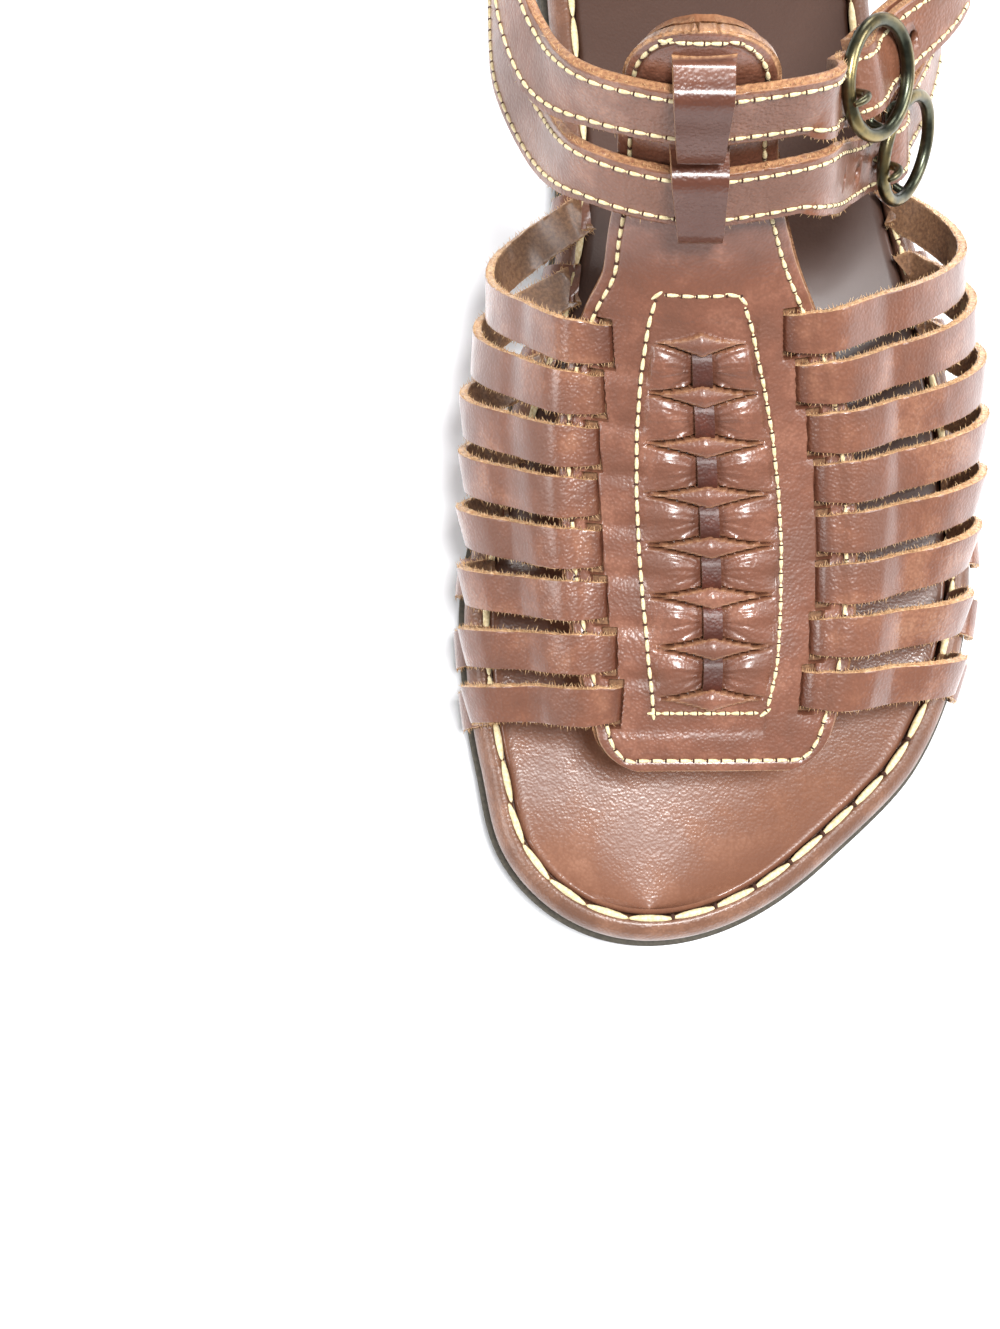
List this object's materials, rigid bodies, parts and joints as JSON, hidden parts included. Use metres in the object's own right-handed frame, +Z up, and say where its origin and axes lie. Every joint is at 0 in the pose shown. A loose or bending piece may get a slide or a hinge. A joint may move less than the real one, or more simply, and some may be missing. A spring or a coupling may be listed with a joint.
{
  "type": "gladiator sandal",
  "caption": "Left flat leather gladiator sandal: woven centre panel, side straps, two buckled ankle straps, footbed, rand and cleated outsole; it protects the foot",
  "frame": {"origin": "on the floor, under the middle of the bounding box", "axes": "+Z up, toe to -Y, heel to +Y, inner side -X, outer side +X"},
  "size_m": [0.1042, 0.2574, 0.1198],
  "materials": {
    "leather": "oiled full-grain leather, semi-gloss",
    "dark_leather": "dark burnished lace leather",
    "lining": "raw-edged lining leather, matte",
    "rubber": "moulded rubber, matte",
    "metal": "dark antiqued brass, rubbed at the edges"
  },
  "bodies": {
    "root": {"outsole": "rubber", "midsole_rand": "leather", "footbed": "leather", "vamp_panel": "leather", "panel_lining": "lining", "bow_lace": "dark_leather", "medial_strap_1": "leather", "lateral_strap_1": "leather", "medial_strap_2": "leather", "lateral_strap_2": "leather", "medial_strap_3": "leather", "lateral_strap_3": "leather", "medial_strap_4": "leather", "lateral_strap_4": "leather", "medial_strap_5": "leather", "lateral_strap_5": "leather", "medial_strap_6": "leather", "lateral_strap_6": "leather", "medial_strap_7": "leather", "lateral_strap_7": "leather", "medial_strap_8": "leather", "lateral_strap_8": "leather", "ankle_strap_lower": "leather", "buckle_strap_lower": "leather", "ring_buckle_lower": "metal", "buckle_prong_lower": "metal", "ankle_strap_upper": "leather", "buckle_strap_upper": "leather", "ring_buckle_upper": "metal", "buckle_prong_upper": "metal", "heel_strap": "leather"}
  },
  "joints": []
}
